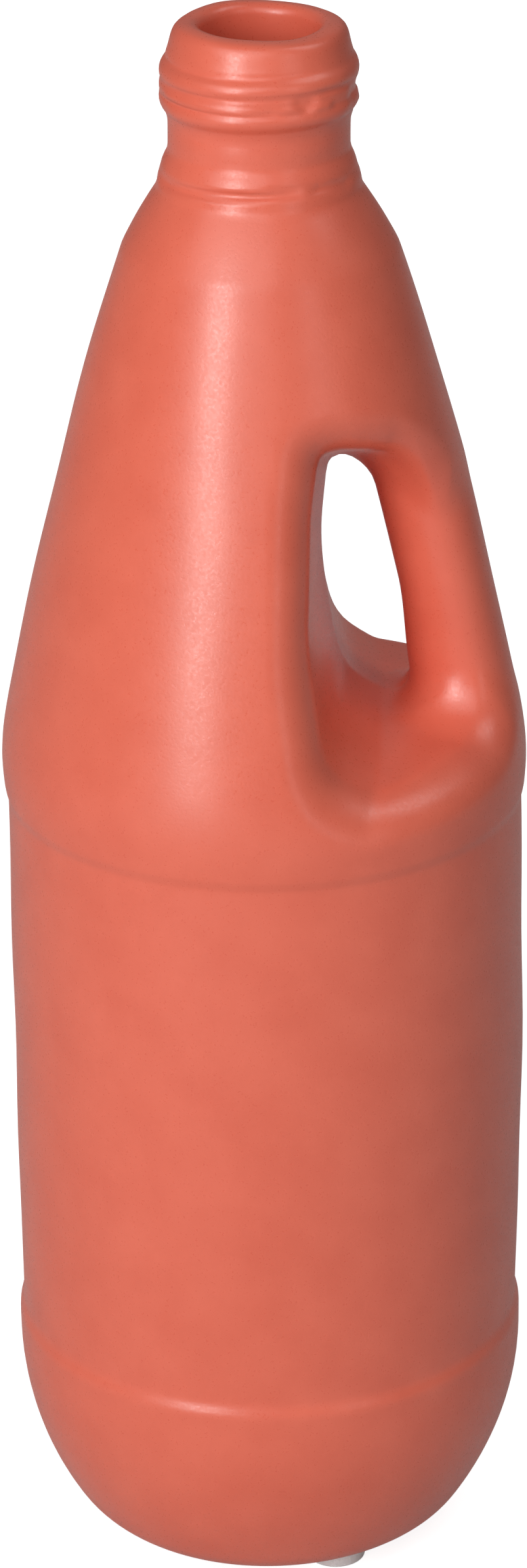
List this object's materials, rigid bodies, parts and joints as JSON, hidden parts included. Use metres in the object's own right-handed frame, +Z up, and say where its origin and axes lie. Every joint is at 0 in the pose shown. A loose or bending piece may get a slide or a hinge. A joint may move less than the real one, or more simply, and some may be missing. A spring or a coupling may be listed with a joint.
{
  "type": "bottle-shaped vase",
  "caption": "Slip-cast ceramic vase in the form of a screw-necked bottle with a pinch-through handle, standing on clear bumper feet.",
  "frame": {"origin": "on the axis of the vase, on the table under its feet", "axes": "+Z up along the axis of the vase, +X towards the handle, -Y towards the viewer"},
  "size_m": [0.0806, 0.0806, 0.25],
  "materials": {
    "coral_glaze": "satin coral glaze",
    "clear_bumper": "clear satin",
    "adhesive": "clear"
  },
  "bodies": {
    "root": {"vase_body": "coral_glaze", "foot_bumper_1": "clear_bumper", "foot_bumper_2": "clear_bumper", "foot_bumper_3": "clear_bumper", "foot_adhesive_1": "adhesive", "foot_adhesive_2": "adhesive", "foot_adhesive_3": "adhesive"}
  },
  "joints": []
}
